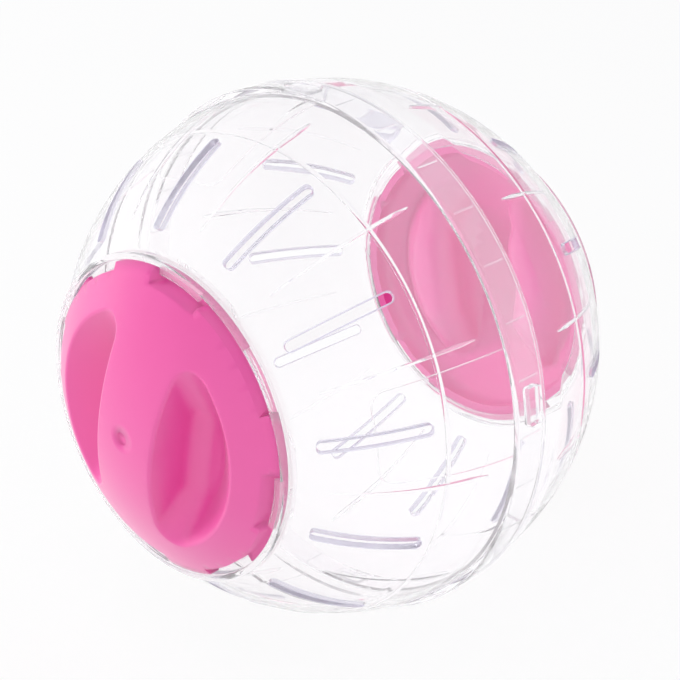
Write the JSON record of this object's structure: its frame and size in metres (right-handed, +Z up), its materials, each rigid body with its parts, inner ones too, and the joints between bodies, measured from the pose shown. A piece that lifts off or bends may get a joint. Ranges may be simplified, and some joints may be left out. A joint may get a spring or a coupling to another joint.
{
  "type": "hamster ball",
  "caption": "Clear plastic exercise ball for a small rodent: slotted half shells joined at a band, with bayonet lids that have a grip bar between finger scoops.",
  "frame": {"origin": "centre of the ball", "axes": "+Y along the ball's axis from the front lid to the back lid, +Z up, +X to the right seen from the front"},
  "size_m": [0.1218, 0.123, 0.1218],
  "materials": {
    "clear_plastic": "clear gloss",
    "pink_plastic": "satin gloss"
  },
  "bodies": {
    "shell": {"front_shell": "clear_plastic", "back_shell": "clear_plastic"},
    "front_lid": {"front_lid": "pink_plastic"},
    "back_lid": {"back_lid": "pink_plastic"}
  },
  "joints": [
    {"name": "front_lid_turn", "type": "hinge", "parent": "shell", "child": "front_lid", "pos_m": [0, -0.05, 0], "axis": [0, -1, 0], "range_deg": [0, 45]},
    {"name": "back_lid_turn", "type": "hinge", "parent": "shell", "child": "back_lid", "pos_m": [0, 0.05, 0], "axis": [0, 1, 0], "range_deg": [0, 45]}
  ]
}
